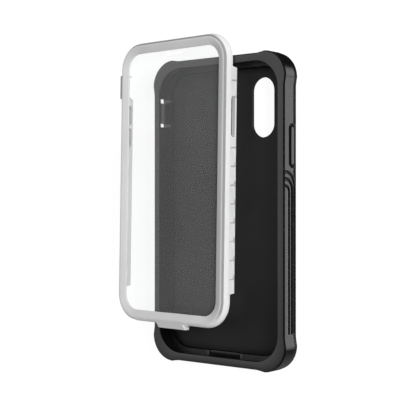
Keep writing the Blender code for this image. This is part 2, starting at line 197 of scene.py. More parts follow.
class Socket:
    """Output of a node. Arithmetic on it adds Math nodes to its graph."""

    def __init__(self, graph, output):
        self.graph = graph
        self.output = output

    def _math(self, operation, *values):
        return self.graph.node("ShaderNodeMath", {"operation": operation}, dict(enumerate(values)))

    def __add__(self, other):
        return self._math("ADD", self, other)

    def __sub__(self, other):
        return self._math("SUBTRACT", self, other)

    def __mul__(self, other):
        return self._math("MULTIPLY", self, other)

    def __rsub__(self, other):
        return self._math("SUBTRACT", other, self)

    __radd__ = __add__
    __rmul__ = __mul__

    def power(self, exponent):
        return self._math("POWER", self, exponent)

    def size(self):
        return self._math("ABSOLUTE", self)

    def sign(self):
        return self._math("SIGN", self)

    def above(self, threshold):
        return self._math("GREATER_THAN", self, threshold)

    def larger(self, other):
        return self._math("MAXIMUM", self, other)

    def wrapped(self, length):
        """What is left of the value after whole lengths are taken off it."""
        return self._math("WRAP", self, length, 0.0)

    def part(self, name):
        """Another output of the same node."""
        return Socket(self.graph, self.output.node.outputs[name])


class Graph:
    """Node tree with one way to make a node."""

    def __init__(self, tree):
        self.tree = tree

    def node(self, kind, settings=None, inputs=None, output=0):
        made = self.tree.nodes.new(kind)
        for name, value in (settings or {}).items():
            setattr(made, name, value)
        for name, value in (inputs or {}).items():
            if isinstance(value, Socket):
                self.tree.links.new(value.output, made.inputs[name])
            else:
                made.inputs[name].default_value = value
        return Socket(self, made.outputs[output]) if made.outputs else made

    def smooth(self, value, low, high, start=0.0, end=1.0):
        """Smooth step of a value from start to end between low and high."""
        return self.node(
            "ShaderNodeMapRange",
            {"interpolation_type": "SMOOTHSTEP"},
            {"Value": value, "From Min": low, "From Max": high, "To Min": start, "To Max": end},
        )


def new_material(name):
    material = bpy.data.materials.new(name)
    material.use_nodes = True
    material.node_tree.nodes.clear()
    return material, Graph(material.node_tree)


def finish_material(graph, shader):
    graph.node("ShaderNodeOutputMaterial", inputs={"Surface": shader})


def object_place(graph):
    return graph.node("ShaderNodeTexCoord", output="Object")


def noise(graph, place, scale, detail=2.0, roughness=0.5):
    return graph.node(
        "ShaderNodeTexNoise",
        inputs={"Vector": place, "Scale": scale, "Detail": detail, "Roughness": roughness},
    )


def shades(graph, value, dark, light):
    """Colour between two shades by a value. A shade is a row of three numbers or a socket."""
    dark, light = (shade if isinstance(shade, Socket) else (*shade, 1.0) for shade in (dark, light))
    return graph.node("ShaderNodeMix", {"data_type": "RGBA"}, {0: value, 6: dark, 7: light}, 2)


# Materials


def pale_moulded_plastic():
    """Satin light grey plastic, with painted shade on the front edge's chamfer: darker and rougher there."""
    material, g = new_material("pale_moulded_plastic")
    place = object_place(g)
    # painted shade: the base colour goes dark on the chamfer and in the grip steps' corners and notches
    edge = g.node("ShaderNodeAttribute", {"attribute_name": "dull"}, output="Fac")
    clouds = g.smooth(noise(g, place, 38.0, 3.0), 0.35, 0.65)
    grain = noise(g, place, 5200.0, 2.0)
    flow = noise(g, place, 260.0, 3.0)
    height = grain * 0.6 + flow * 0.4
    bump = g.node("ShaderNodeBump", inputs={"Strength": 0.10, "Distance": 0.00006, "Height": height})
    finish_material(g, g.node("ShaderNodeBsdfPrincipled", inputs={
        "Base Color": shades(
            g, edge, shades(g, clouds, (0.685, 0.688, 0.688), (0.725, 0.727, 0.725)), (0.29, 0.292, 0.292)
        ),
        "Roughness": 0.30 + 0.07 * clouds + 0.05 * grain + 0.15 * edge,
        "Normal": bump,
    }))
    return material


def clear_hard_film():
    """Thin clear sheet: nearly all passes, with a little haze and more gloss at a flat angle."""
    material, g = new_material("clear_hard_film")
    place = object_place(g)
    wipes = g.smooth(noise(g, place, 16.0, 4.0, 0.6), 0.40, 0.75)
    facing = g.node("ShaderNodeLayerWeight", inputs={"Blend": 0.25}, output="Facing")
    cover = 0.052 + 0.010 * wipes + 0.25 * facing.power(3.0)
    gloss = g.node("ShaderNodeBsdfPrincipled", inputs={
        "Base Color": (0.90, 0.91, 0.91, 1.0),
        "Roughness": 0.04 + 0.05 * wipes,
        "Coat Weight": 0.5,
        "Coat Roughness": 0.03,
    })
    clear = g.node("ShaderNodeBsdfTransparent", inputs={"Color": (0.995, 0.997, 0.997, 1.0)})
    finish_material(g, g.node("ShaderNodeMixShader", inputs={0: cover, 1: clear, 2: gloss}))
    return material


def soft_black_bumper():
    material, g = new_material("soft_black_bumper")
    place = object_place(g)
    grain = noise(g, place, 4200.0, 3.0, 0.6)
    clouds = g.smooth(noise(g, place, 55.0, 3.0), 0.3, 0.7)
    # painted shade: the shell's inner faces get a darker base colour, and a rougher finish
    painted_shade_inside = g.node("ShaderNodeAttribute", {"attribute_name": "painted_shade_inside"}, output="Fac")
    bump = g.node("ShaderNodeBump", inputs={"Strength": 0.02, "Distance": 0.00005, "Height": grain})
    finish_material(g, g.node("ShaderNodeBsdfPrincipled", inputs={
        "Base Color": shades(
            g, painted_shade_inside, shades(g, clouds, (0.0035, 0.0035, 0.0037), (0.0055, 0.0055, 0.0058)), (0.002,) * 3
        ),
        "Roughness": 0.14 + 0.03 * clouds + 0.02 * grain + 0.4 * painted_shade_inside,
        "Specular IOR Level": 0.8,
        "Normal": bump,
    }))
    return material


def fine_grained_back():
    material, g = new_material("fine_grained_back")
    place = object_place(g)
    cells = g.node("ShaderNodeTexVoronoi", {"feature": "F1"}, {"Vector": place, "Scale": 1500.0})
    clouds = g.smooth(noise(g, place, 42.0, 3.0), 0.3, 0.7)
    height = cells * 0.7 + noise(g, place, 3200.0, 2.0) * 0.5
    bump = g.node("ShaderNodeBump", inputs={"Strength": 0.16, "Distance": 0.00008, "Height": height})
    finish_material(g, g.node("ShaderNodeBsdfPrincipled", inputs={
        "Base Color": shades(g, clouds, (0.013, 0.013, 0.0135), (0.019, 0.019, 0.0198)),
        "Roughness": 0.50 + 0.08 * clouds,
        "Specular IOR Level": 0.3,
        "Normal": bump,
    }))
    return material


# Outlines and sections


def outline_point(station, half_w, half_l, corner):
    """Point of a rounded rectangle. A station is a side with its fraction of the straight run, or a corner
    with its angle."""
    kind, index, value = station
    run_w, run_l = half_w - corner, half_l - corner
    if kind == "corner":
        sign_x = 1 if index in (0, 3) else -1
        sign_y = 1 if index in (0, 1) else -1
        angle = math.radians(90 * index + value)
        return sign_x * run_w + corner * math.cos(angle), sign_y * run_l + corner * math.sin(angle)
    return (
        (half_w, value * run_l),
        (-value * run_w, half_l),
        (-half_w, -value * run_l),
        (value * run_w, -half_l),
    )[index]


def frame_point(station, offset):
    """Point at an offset from the frame's outline."""
    return outline_point(station, FRAME_HALF_W + offset, FRAME_HALF_L + offset, FRAME_CORNER + offset)


def spread(low, high, step):
    """Even places from low to high, no further apart than step."""
    count = max(1, math.ceil((high - low) / step - 1e-6))
    return [low + (high - low) * i / count for i in range(count + 1)]


def places_along(run, stretches):
    """Places on a straight side from -run to run: a fine step in each stretch and a coarse one elsewhere."""
    places = set()
    edges = [-run]
    for low, high, step in sorted(stretches):
        low, high = max(low, -run), min(high, run)
        places.update(round(p, 7) for p in spread(low, high, step))
        edges += [low, high]
    edges.append(run)
    for low, high in zip(edges[::2], edges[1::2]):
        if high > low:
            places.update(round(p, 7) for p in spread(low, high, COARSE_STEP))
    ordered = sorted(places)
    kept = [ordered[0]]
    for place in ordered[1:]:
        if place - kept[-1] > LEAST_STEP:
            kept.append(place)
    return kept


def stations_of(run_w, run_l, fine, corner_steps):
    """Stations all round. fine maps a side to its fine stretches, in the side's running direction."""
    found = []
    for index, side in enumerate(SIDES):
        run = run_l if side in ("right", "left") else run_w
        found += [("side", index, place / run) for place in places_along(run, fine.get(side, []))[1:-1]]
        found += [("corner", index, 90 * step / corner_steps) for step in range(corner_steps + 1)]
    return found


def rounded(corners):
    """Closed profile with rounded corners, from rows of (offset, height, radius)."""
    points = []
    for i, (x, y, radius) in enumerate(corners):
        here = Vector((x, y))
        if not radius:
            points.append(here)
            continue
        back = (Vector(corners[i - 1][:2]) - here).normalized()
        ahead = (Vector(corners[(i + 1) % len(corners)][:2]) - here).normalized()
        half = back.angle(ahead) / 2
        centre = here + (back + ahead).normalized() * radius / math.sin(half)
        start = here + back * radius / math.tan(half) - centre
        end = here + ahead * radius / math.tan(half) - centre
        turn = start.angle_signed(end)
        for step in range(CORNER_STEPS + 1):
            angle = -turn * step / CORNER_STEPS
            points.append(centre + Matrix.Rotation(angle, 2) @ start)
    return points


def smooth_step(value, low, high):
    t = min(max((value - low) / (high - low), 0.0), 1.0)
    return t * t * (3 - 2 * t)


def within(value, low, high, ramp=STEP_RAMP):
    """1 between low and high and 0 beyond, with a smooth ramp on each end."""
    return smooth_step(value, low, low + ramp) * (1 - smooth_step(value, high - ramp, high))


# Mesh helpers


def mesh_object(name, bm):
    mesh = bpy.data.meshes.new(name)
    bm.to_mesh(mesh)
    bm.free()
    obj = bpy.data.objects.new(name, mesh)
    bpy.context.scene.collection.objects.link(obj)
    return obj


def bridge(bm, rings):
    """Faces between each ring of vertices and the next."""
    for ring, after in zip(rings, rings[1:]):
        for j in range(len(ring)):
            k = (j + 1) % len(ring)
            bm.faces.new((ring[j], ring[k], after[k], after[j]))


def loft(name, sections, values):
    """Closed ring body through sections of equal length, with its normals outwards. values maps a vertex
    layer's name to one row of numbers for each section."""
    bm = bmesh.new()
    layers = {key: bm.verts.layers.float.new(key) for key in values}
    rings = [[bm.verts.new(point) for point in section] for section in sections]
    for key, layer in layers.items():
        for ring, row in zip(rings, values[key]):
            for vert, value in zip(ring, row):
                vert[layer] = value
    bridge(bm, rings + rings[:1])
    bmesh.ops.recalc_face_normals(bm, faces=bm.faces)
    return mesh_object(name, bm)


def stack(name, levels):
    """Closed body through rings of points, with a face over each end."""
    bm = bmesh.new()
    rings = [[bm.verts.new(point) for point in level] for level in levels]
    bridge(bm, rings)
    bm.faces.new(rings[0])
    bm.faces.new(rings[-1])
    bmesh.ops.recalc_face_normals(bm, faces=bm.faces)
    return mesh_object(name, bm)


def prism(name, outline, low, high, flare=0.0, flare_start=0.0):
    """Prism along local Z. With a flare it opens out by that much from the flare's start on."""
    widths = [(low, 0.0), (high, 0.0)]
    if flare:
        widths = [(low, 0.0), (flare_start, 0.0), (flare_start + flare, flare), (high, flare + 1.0 * MM)]
    centre = sum((Vector(p) for p in outline), Vector((0, 0))) / len(outline)
    levels = []
    for height, out in widths:
        level = []
        for i, point in enumerate(outline):
            here = Vector(point)
            if out:
                tangent = Vector(outline[(i + 1) % len(outline)]) - Vector(outline[i - 1])
                normal = Vector((tangent.y, -tangent.x)).normalized()
                if normal.dot(here - centre) < 0:
                    normal.negate()
                here = here + normal * out
            level.append((here.x, here.y, height))
        levels.append(level)
    return stack(name, levels)


def rounded_box(length, width, corner, steps=5):
    """Outline of a rectangle with round corners, its length along local X."""
    points = []
    for index, (sx, sy) in enumerate(((1, 1), (-1, 1), (-1, -1), (1, -1))):
        for step in range(steps + 1):
            angle = math.radians(90 * index + 90 * step / steps)
            points.append((
                sx * (length / 2 - corner) + corner * math.cos(angle),
                sy * (width / 2 - corner) + corner * math.sin(angle),
            ))
    return points


def stadium(length, width):
    return rounded_box(length, width, width / 2 - 0.001 * MM, 10)


def through_side(tool, side, along, height):
    """Turns a prism so that it pierces one side wall: its X runs along the wall and its Y is the height."""
    run, normal = {
        "right": (Vector((0, 1, 0)), Vector((1, 0, 0))),
        "left": (Vector((0, -1, 0)), Vector((-1, 0, 0))),
        "top": (Vector((-1, 0, 0)), Vector((0, 1, 0))),
        "bottom": (Vector((1, 0, 0)), Vector((0, -1, 0))),
    }[side]
    turn = Matrix((run, Vector((0, 0, 1)), normal)).transposed().to_4x4()
    place = Vector((abs(run.x) * along, abs(run.y) * along, height))
    tool.data.transform(Matrix.Translation(place) @ turn)
    return tool


def cut(obj, tools):
    for tool in tools:
        modifier = obj.modifiers.new(tool.name, "BOOLEAN")
        modifier.operation = "DIFFERENCE"
        modifier.solver = "EXACT"
        modifier.object = tool
    apply_modifiers(obj)
    for tool in tools:
        bpy.data.objects.remove(tool, do_unlink=True)


def apply_modifiers(obj):
    graph = bpy.context.evaluated_depsgraph_get()
    mesh = bpy.data.meshes.new_from_object(obj.evaluated_get(graph))
    obj.modifiers.clear()
    obj.data = mesh


def shade(obj, material, angle=38.0):
    obj.data.materials.clear()
    obj.data.materials.append(material)
    for polygon in obj.data.polygons:
        polygon.use_smooth = True
        polygon.material_index = 0
    obj.data.set_sharp_from_angle(angle=math.radians(angle))


# Relief along a path, by Geometry Nodes


def start_tree(name, sizes, objects=()):
    """New tree with its named inputs, as its graph and its input node."""
    tree = bpy.data.node_groups.new(name, "GeometryNodeTree")
    sockets = [("Geometry", "Geometry")]
    sockets += [(label, "Object") for label in objects]
    sockets += [(label, "Float") for label in sizes]
    sockets += [("Material", "Material")]
    for label, kind in sockets:
        tree.interface.new_socket(label, in_out="INPUT", socket_type=f"NodeSocket{kind}")
    tree.interface.new_socket("Geometry", in_out="OUTPUT", socket_type="NodeSocketGeometry")
    g = Graph(tree)
    return g, g.node("NodeGroupInput", output="Geometry")


def kept_value(g, name):
    """Number kept on the mesh's points under a name."""
    return g.node("GeometryNodeInputNamedAttribute", {"data_type": "FLOAT"}, {"Name": name}, "Attribute")


def finish_tree(g, given, geometry, side, press):
    """Presses points in along X, each from its own side, and gives the result its material."""
    offset = g.node("ShaderNodeCombineXYZ", inputs={"X": side.sign() * press * -1.0})
    moved = g.node("GeometryNodeSetPosition", inputs={"Geometry": geometry, "Offset": offset})
    real = g.node("GeometryNodeRealizeInstances", inputs={"Geometry": moved})
    dressed = g.node("GeometryNodeSetMaterial", inputs={"Geometry": real, "Material": given.part("Material")})
    g.node("NodeGroupOutput", inputs={"Geometry": dressed})
    return g.tree


def relief_tree():
    """Presses a groove or raises a pad along a path: the depth falls off over the edge width, and only
    points of the outer skin move."""
    g, given = start_tree("relief_along_path", ("Half Width", "Edge", "Depth"), ("Path",))
    half = given.part("Half Width")
    path = g.node("GeometryNodeObjectInfo", inputs={"Object": given.part("Path")}, output="Geometry")
    away = g.node(
        "GeometryNodeProximity", {"target_element": "EDGES"}, {"Geometry": path}, output="Distance"
    )
    press = g.smooth(away, half - given.part("Edge"), half, 1.0, 0.0) * given.part("Depth")
    side = g.node("ShaderNodeSeparateXYZ", inputs={0: g.node("GeometryNodeInputPosition")}, output="X")
    return finish_tree(g, given, given, side, press * kept_value(g, "skin"))


def grip_tree():
    """Scalloped grip steps on a skirt: each starts under an arched lip and runs out towards the next."""
    g, given = start_tree(
        "grip_steps", ("First Lip", "Pitch", "Lowest", "Front", "Arch", "Depth", "Rear", "Rear Cut")
    )
    pitch = given.part("Pitch")
    place = g.node("ShaderNodeSeparateXYZ", inputs={0: g.node("GeometryNodeInputPosition")}, output="X")
    along, height = place.part("Y"), place.part("Z")
    below = given.part("First Lip") - along
    past_front, past_rear = given.part("Front") - height, given.part("Rear") - height
    skin = kept_value(g, "skin")
    runs = below.above(-0.1 * MM) * along.above(given.part("Lowest"))
    # each lip bends down towards the front, over the arch's width
    arch = g.smooth(past_front, 0.0, given.part("Arch"), 1.0, 0.0)
    step = (below - arch * arch * given.part("Arch")).wrapped(pitch)
    pocket = g.smooth(step, 0.0, 0.22 * MM) * g.smooth(step, 0.5 * MM, pitch * 0.92, 1.0, 0.0)
    face_on = g.smooth(past_front, 0.0, 0.45 * MM)
    # a notch in the skirt's rear edge where each step ends
    notch = g.smooth(pitch - step, 0.1 * MM, 2.6 * MM, 1.0, 0.0)
    rear = g.smooth(past_rear, 0.0, 1.1 * MM) * notch * given.part("Rear Cut")
    press = (pocket * face_on * given.part("Depth") + rear) * runs * skin
    # painted shade in the step's corner and in the notch: a darker base colour where shade falls
    corner = g.smooth(step, 0.0, 0.2 * MM) * g.smooth(step, 0.25 * MM, 0.8 * MM, 0.8, 0.0) * face_on
    behind = g.smooth(past_rear, 0.0, 0.3 * MM) * notch * 0.7
    marked = g.node(
        "GeometryNodeStoreNamedAttribute", {"data_type": "FLOAT", "domain": "POINT"}, {
            "Geometry": given, "Name": "dull",
            "Value": kept_value(g, "dull").larger(corner.larger(behind) * runs * skin),
        },
    )
    return finish_tree(g, given, marked, place, press)


def run_tree(obj, tree, values):
    """Runs a tree once on an object, with its inputs set by name, and keeps the plain mesh."""
    modifier = obj.modifiers.new(tree.name, "NODES")
    modifier.node_group = tree
    for item in tree.interface.items_tree:
        if item.in_out == "INPUT" and item.name in values:
            modifier[item.identifier] = values[item.name]
    apply_modifiers(obj)


# Front frame


def frame_depth(side, t):
    """How deep the wall runs below the ridge at a place of a side's running direction."""
    skirt, surround = 0.0, 0.0
    if side == "right":
        skirt = within(t, -SKIRT_END, SKIRT_END)
    if side == "left":
        surround = within(t, -SWITCH_CENTRE - SWITCH_LENGTH / 2, SKIRT_END)
        skirt = within(t, -SWITCH_CENTRE + SWITCH_LENGTH / 2 - STEP_RAMP, SKIRT_END)
    if side == "bottom":
        surround = within(t, -PORT_LENGTH / 2, PORT_LENGTH / 2)
    return max(
        RAIL_DEPTH + (SKIRT_DEPTH - RAIL_DEPTH) * skirt,
        RAIL_DEPTH + (SURROUND_DEPTH - RAIL_DEPTH) * surround,
    )


def frame_reach(side, t):
    """How far the wall stands out past the front outline at a place of a side's running direction."""
    if side == "left":
        out = within(t, -SWITCH_CENTRE - SWITCH_LENGTH / 2, -SWITCH_CENTRE + SWITCH_LENGTH / 2)
        return FLARE + (SWITCH_REACH - FLARE) * out
    if side == "bottom":
        return FLARE + (PORT_REACH - FLARE) * within(t, -PORT_LENGTH / 2, PORT_LENGTH / 2)
    return FLARE


def frame_profile(reach, depth):
    """Profile across the rail: from the ridge out over the slope, down the wall, back under the film's seat
    and up the bevel."""
    slope = []
    for i in range(SLOPE_ROWS + 1):
        drop = SLOPE_TOP + (SHOULDER_DROP - 0.45 * MM - SLOPE_TOP) * i / SLOPE_ROWS
        slope.append((reach * (drop - RIDGE_ROUND) / (SHOULDER_DROP - RIDGE_ROUND), -drop, 0))
    top, low = -SHOULDER_DROP - 0.5 * MM, -depth + 0.3 * MM
    wall = [(reach, top + (low - top) * i / WALL_ROWS, 0) for i in range(WALL_ROWS + 1)]
    return rounded([
        (-RIDGE_ROUND, 0, 0.20 * MM),
        (0, -RIDGE_ROUND, 0.25 * MM),
        *slope,
        (reach, -SHOULDER_DROP, 0.35 * MM),
        *wall,
        (reach, -depth, 0.22 * MM),
        (-FRAME_WALL, -depth, 0.22 * MM),
        (-FRAME_WALL, -FRAME_UNDERSIDE, 0),
        (-FILM_SEAT_EDGE, -FRAME_UNDERSIDE, 0),
        (-FILM_SEAT_EDGE, -FILM_SEAT_DROP, 0),
        (-BEVEL_EDGE, -FILM_SEAT_DROP, 0.08 * MM),
        (-BEVEL_EDGE, -BEVEL_DROP, 0.18 * MM),
        (-BEVEL_START, 0, 0.20 * MM),
    ])


def ramp_in(place):
    """Fine stretch over the ramp that starts at a place."""
    return place - FINE_STEP, place + STEP_RAMP + FINE_STEP, FINE_STEP


def ramp_out(place):
    """Fine stretch over the ramp that ends at a place."""
    return place - STEP_RAMP - FINE_STEP, place + FINE_STEP, FINE_STEP


def frame_stretches():
    """Where the frame's sides have fine steps: over each ramp, and along the skirts for their grips."""
    clear, step = 0.7 * MM, 0.3 * MM
    boss_low, boss_high = -SWITCH_CENTRE - SWITCH_LENGTH / 2, -SWITCH_CENTRE + SWITCH_LENGTH / 2
    return {
        "right": [
            ramp_in(-SKIRT_END), (-SKIRT_END + clear, SKIRT_END - clear, step), ramp_out(SKIRT_END),
        ],
        "left": [
            ramp_in(boss_low), ramp_out(boss_high),
            (boss_high + 0.2 * MM, SKIRT_END - clear, step), ramp_out(SKIRT_END),
        ],
        "bottom": [ramp_in(-PORT_LENGTH / 2), ramp_out(PORT_LENGTH / 2)],
    }


def frame_openings():
    """Tools for the power and volume slots in the skirts, and for the insides of the two surrounds."""
    tools = []
    inner, outer = FRAME_HALF_W - FRAME_WALL - PAST, FRAME_HALF_W + 3 * MM
    edge = 0.18 * MM
    height = -SKIRT_DEPTH + SLOT_BAR + SLOT_WIDTH / 2
    slots = [("power", "right", POWER_CENTRE, POWER_LENGTH)]
    slots += [(f"volume_{i}", "left", centre, VOLUME_LENGTH) for i, centre in enumerate(VOLUME_CENTRES)]
    for name, side, centre, length in slots:
        slot = prism(name, stadium(length, SLOT_WIDTH), inner, outer, edge, FRAME_HALF_W + FLARE - edge)
        tools.append(through_side(slot, side, centre, height))
    edge = 0.15 * MM
    top, low = -SHOULDER_DROP - BOSS_WALL, -SKIRT_DEPTH - PAST
    for name, side, along, length, half, reach in (
        ("switch", "left", SWITCH_CENTRE, SWITCH_LENGTH, FRAME_HALF_W, SWITCH_REACH),
        ("port", "bottom", 0, PORT_LENGTH, FRAME_HALF_L, PORT_REACH),
    ):
        opening = rounded_box(length - STEP_RAMP - 2 * BOSS_WALL, top - low, 0.35 * MM)
        tool = prism(name, opening, half - FRAME_WALL - PAST, half + 6 * MM, edge, half + reach - edge)
        tools.append(through_side(tool, side, along, (top + low) / 2))
    return tools


def make_front_frame(material, pose):
    sections = []
    for station in stations_of(FRAME_RUN_W, FRAME_RUN_L, frame_stretches(), FRAME_CORNER_STEPS):
        kind, index, value = station
        side = SIDES[index]
        run = FRAME_RUN_L if side in ("right", "left") else FRAME_RUN_W
        t = value * run if kind == "side" else 2 * FRAME_RUN_L
        profile = frame_profile(frame_reach(side, t), frame_depth(side, t))
        sections.append([(*frame_point(station, point.x), point.y) for point in profile])
    count = len(sections[0])
    # the outer skin starts with the slope's rows and ends in the wall's lower corner
    skin_start = 2 * CORNER_POINTS
    skin_end = 3 * CORNER_POINTS + SLOPE_ROWS + 1 + WALL_ROWS + 1 + 3
    skin = [1.0 if skin_start <= i < skin_end else 0.0 for i in range(count)]
    # painted shade on the chamfer between the first two corners, which fades out towards the bottom rail
    band = [1.0 if CORNER_POINTS - 2 <= i <= CORNER_POINTS + 1 else 0.0 for i in range(count)]
    fade_low, fade_high = 1 * MM - FRAME_HALF_L, 9 * MM - FRAME_HALF_L
    dull = [
        [mark * smooth_step(section[0][1], fade_low, fade_high) for mark in band] for section in sections
    ]
    piece = loft("front_frame_moulding", sections, {"skin": [skin] * len(sections), "dull": dull})
    tree = grip_tree()
    grips = {
        "Pitch": LIP_PITCH, "Front": GRIP_FRONT, "Arch": GRIP_ARCH, "Depth": GRIP_DEPTH,
        "Rear": GRIP_REAR, "Rear Cut": GRIP_REAR_CUT, "Material": material,
    }
    run_tree(piece, tree, {**grips, "First Lip": LIP_FIRST, "Lowest": GRIP_END})
    run_tree(piece, tree, {**grips, "First Lip": LIP_TOP, "Lowest": LIP_TOP - LIP_PITCH + 0.5 * MM})
    cut(piece, frame_openings())
    piece.data.transform(pose)
    shade(piece, material)
    return piece


def make_film(material, pose):
    edge = FILM_SEAT_EDGE + FILM_GAP
    stations = stations_of(FRAME_RUN_W, FRAME_RUN_L, {}, FRAME_CORNER_STEPS)
    outline = [frame_point(station, -edge) for station in stations]
    film = prism("screen_film_sheet", outline, -FILM_TOP - FILM_THICKNESS, -FILM_TOP)
    slot = prism("earpiece", stadium(EARPIECE_LENGTH, EARPIECE_WIDTH), -5 * MM, 1 * MM)
    slot.data.transform(Matrix.Translation((0, FRAME_HALF_L - BEVEL_EDGE - EARPIECE_INSET, 0)))
    cut(film, [slot])
    film.data.transform(pose)
    shade(film, material)
    return film


# Rear shell


def shell_profile(station):
    """Points across the bumper's wall, with its outer rows close together for the relief, and two rows of
    numbers: which points are on the outer skin, and which are on the inner faces that get painted shade."""
    kind, index, value = station
    run = SHELL_RUN_L if index % 2 == 0 else SHELL_RUN_W
    bump = CORNER_BUMP
    if kind == "side":
        bump = CORNER_BUMP * max(0.0, 1 - (run - abs(value) * run) / BUMP_RAMP)
    rows = [(0, z, 0) for z in spread(BACK_ROUND, RIM_HEIGHT - RIM_CREASE - 0.2 * MM, ROW_GAP)[::-1]]
    rows += [
        (BACK_LEAN * (1 - z / BACK_ROUND), z, 0) for z in spread(0.3 * MM, BACK_ROUND, ROW_GAP)[-2::-1]
    ]
    outer = [
        (RIM_CREASE, RIM_HEIGHT, 0.08 * MM),
        (0, RIM_HEIGHT - RIM_CREASE, 0.10 * MM),
        *rows,
        (BACK_LEAN, 0, 0.04 * MM),
    ]
    hollow = SNAP_PLAY + UNDERCUT
    inner = [
        (FLANGE_OFFSET, 0, 0.08 * MM),
        (FLANGE_OFFSET, FLANGE_THICKNESS, 0.08 * MM),
        (SEAT_OFFSET, FLANGE_THICKNESS, 0),
        (SEAT_OFFSET, SEAT_HEIGHT, 0.35 * MM),
        (hollow, SEAT_HEIGHT, 0.25 * MM),
        (hollow, LIP_LOW, 0.2 * MM),
        (SNAP_PLAY, LIP_LOW + LIP_SLOPE, 0.2 * MM),
        (SNAP_PLAY, RIM_HEIGHT, 0.3 * MM),
    ]
    # one closed profile in plan metres from the outer face, so that the corners round off together
    wall = SHELL_HALF_W - FRAME_HALF_W
    closed = rounded([(-x, y, r) for x, y, r in outer] + [(x - wall, y, r) for x, y, r in inner])
    skin_start = 2 * CORNER_POINTS
    skin_end = skin_start + len(rows)
    outer_count = skin_end + CORNER_POINTS
    points = []
    for i, point in enumerate(closed):
        if i < outer_count:
            inset = point.x
            x, y = outline_point(
                station, SHELL_HALF_W + bump + inset, SHELL_HALF_L + bump + inset,
                SHELL_CORNER + bump + inset if kind == "corner" else SHELL_CORNER,
            )
        else:
            x, y = frame_point(station, point.x + wall)
        points.append((x, y, point.y))
    skin = [1.0 if skin_start <= i < skin_end else 0.0 for i in range(len(closed))]
    painted_shade_inside = [1.0 if outer_count <= i < len(closed) - CORNER_POINTS else 0.0 for i in range(len(closed))]
    return points, skin, painted_shade_inside


def path_object(name, points):
    mesh = bpy.data.meshes.new(name)
    mesh.from_pydata(points, [(i, i + 1) for i in range(len(points) - 1)], [])
    obj = bpy.data.objects.new(name, mesh)
    bpy.context.scene.collection.objects.link(obj)
    return obj


def groove_path(number, sign):
    """Grip groove: down from the rim, round an arc and along the side, as points on the wall's plane."""
    radius = GROOVE_RADII[number]
    top = GROOVE_TOP + GROOVE_PITCH * number
    points = [(top, RIM_HEIGHT)]
    for step in range(ARC_STEPS + 1):
        angle = math.pi / 2 * step / ARC_STEPS
        points.append((top - radius + radius * math.cos(angle), GROOVE_BEND - radius * math.sin(angle)))
    points.append((GROOVE_END, GROOVE_BEND - radius))
    return [(sign * SHELL_HALF_W, y, z) for y, z in points]


def middle_line(centre, length, width, sign):
    half = (length - width) / 2
    return [(sign * SHELL_HALF_W, centre + end * half, COVER_HEIGHT) for end in (-1, 1)]


def ring_line(centre, length, width, sign):
    """Closed stadium on the wall's plane."""
    outline = stadium(length, width)
    points = [(sign * SHELL_HALF_W, centre + a, COVER_HEIGHT + b) for a, b in outline]
    return points + points[:1]


def side_reliefs(sign):
    """Reliefs of one side in the order of pressing them: path, half width, edge width and depth."""
    covers = [(POWER_CENTRE, POWER_LENGTH)] if sign > 0 else [(c, VOLUME_LENGTH) for c in VOLUME_CENTRES]
    grooves = list(enumerate(GROOVE_HALF_WIDTHS))
    reliefs = [(groove_path(n, sign), half, half - GROOVE_FLAT, GROOVE_DEPTH) for n, half in grooves]
    # the two grooves nearest the rim have soft shoulders too
    reliefs += [
        (groove_path(n, sign), half + SHOULDER_WIDTH, SHOULDER_WIDTH, SHOULDER_DEPTH)
        for n, half in grooves[:2]
    ]
    for centre, length in covers:
        long = length - 2 * COVER_INSET
        pad = middle_line(centre, long, COVER_WIDTH, sign)
        moat = ring_line(centre, long + MOAT_WIDTH, COVER_WIDTH + MOAT_WIDTH, sign)
        reliefs.append((pad, COVER_WIDTH / 2, COVER_RISE, -COVER_RISE))
        reliefs.append((moat, MOAT_WIDTH / 2 + MOAT_SPILL, MOAT_EDGE, MOAT_DEPTH))
    return reliefs


def bump_stretches(run):
    """Stretches over the ramps of the corner bumps at both ends of a side."""
    step = 1.0 * MM
    return [(-run, -run + BUMP_RAMP + step, step), (run - BUMP_RAMP - step, run, step)]


def shell_stretches():
    """Where the shell's sides have fine steps: over the bumps' ramps and the grooves' ends, and along the
    grooves' arcs and the button covers."""
    right = [(-60.5 * MM, -57.5 * MM, 0.2 * MM), (8.0 * MM, 44.5 * MM, 0.22 * MM)]
    left = [(-high, -low, step) for low, high, step in right]
    long, short = bump_stretches(SHELL_RUN_L), bump_stretches(SHELL_RUN_W)
    return {"right": right + long, "left": left + long, "top": short, "bottom": short}


def make_bumper(material):
    sections, skins, insides = [], [], []
    for station in stations_of(SHELL_RUN_W, SHELL_RUN_L, shell_stretches(), SHELL_CORNER_STEPS):
        points, skin, painted_shade_inside = shell_profile(station)
        on_long_side = station[0] == "side" and station[1] % 2 == 0
        sections.append(points)
        skins.append(skin if on_long_side else [0.0] * len(skin))
        insides.append(painted_shade_inside)
    bumper = loft("bumper_moulding", sections, {"skin": skins, "painted_shade_inside": insides})
    tree = relief_tree()
    for points, half, edge, depth in side_reliefs(1) + side_reliefs(-1):
        path = path_object("relief_path", points)
        run_tree(bumper, tree, {
            "Path": path, "Half Width": half, "Edge": edge, "Depth": depth, "Material": material,
        })
        bpy.data.objects.remove(path, do_unlink=True)
    cut(bumper, bumper_windows())
    shade(bumper, material, 32.0)
    crease_bumps(bumper)
    return bumper


